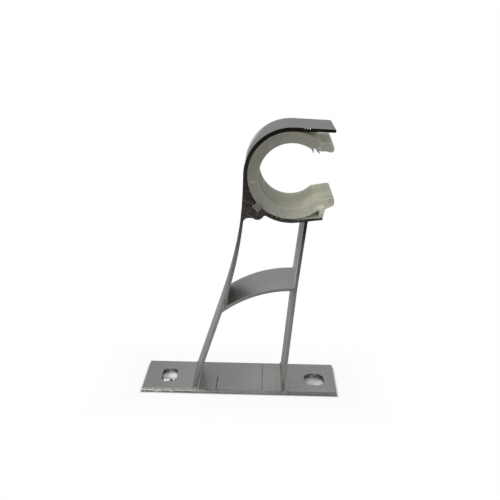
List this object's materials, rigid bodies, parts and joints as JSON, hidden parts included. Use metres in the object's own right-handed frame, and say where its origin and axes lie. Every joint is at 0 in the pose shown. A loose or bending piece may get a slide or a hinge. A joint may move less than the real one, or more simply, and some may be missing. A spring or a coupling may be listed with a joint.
{
  "type": "curtain pole bracket",
  "caption": "Wall or ceiling bracket for a curtain pole: slotted plate, two slanting legs with an arched brace, and a hooked head that holds an open plastic liner for the pole.",
  "frame": {"origin": "middle of the plate's underside, which lies on the wall", "axes": "+Z away from the wall, towards the head; +Y along the pole and the slice's width; +X along the plate, towards the side on which the head is open"},
  "size_m": [0.083, 0.025, 0.1138],
  "materials": {
    "aluminium": "mill finish, satin, with sawn end faces",
    "plastic": "milky, slightly translucent"
  },
  "bodies": {
    "root": {"bracket": "aluminium", "liner": "plastic"}
  },
  "joints": []
}
